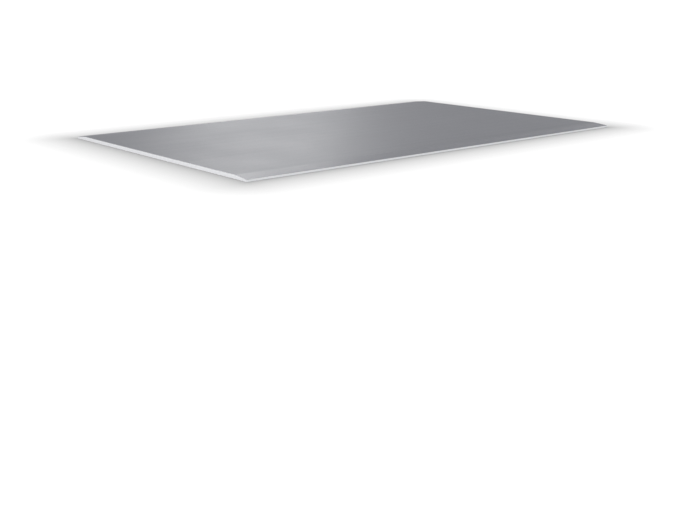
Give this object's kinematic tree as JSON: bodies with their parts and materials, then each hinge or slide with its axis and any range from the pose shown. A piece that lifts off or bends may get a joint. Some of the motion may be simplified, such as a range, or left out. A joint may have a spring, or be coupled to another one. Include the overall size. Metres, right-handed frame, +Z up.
{
  "type": "drywall sheet",
  "caption": "Flat rectangular gypsum board with tapered, paper-bound long edges and square-cut ends, fixed to framing as a wall or ceiling lining.",
  "frame": {"origin": "middle of the back, on the floor that the sheet lies on", "axes": "+X along the bound long edges, +Y across the width, +Z up from the back through the face"},
  "size_m": [2, 1.25, 0.015],
  "materials": {
    "face_liner": "smooth grey calendered paper with a soft sheen, white paper on the bound edges, and matt white gypsum, finely porous, on the cut ends"
  },
  "bodies": {
    "root": {"drywall_sheet": "face_liner"}
  },
  "joints": []
}
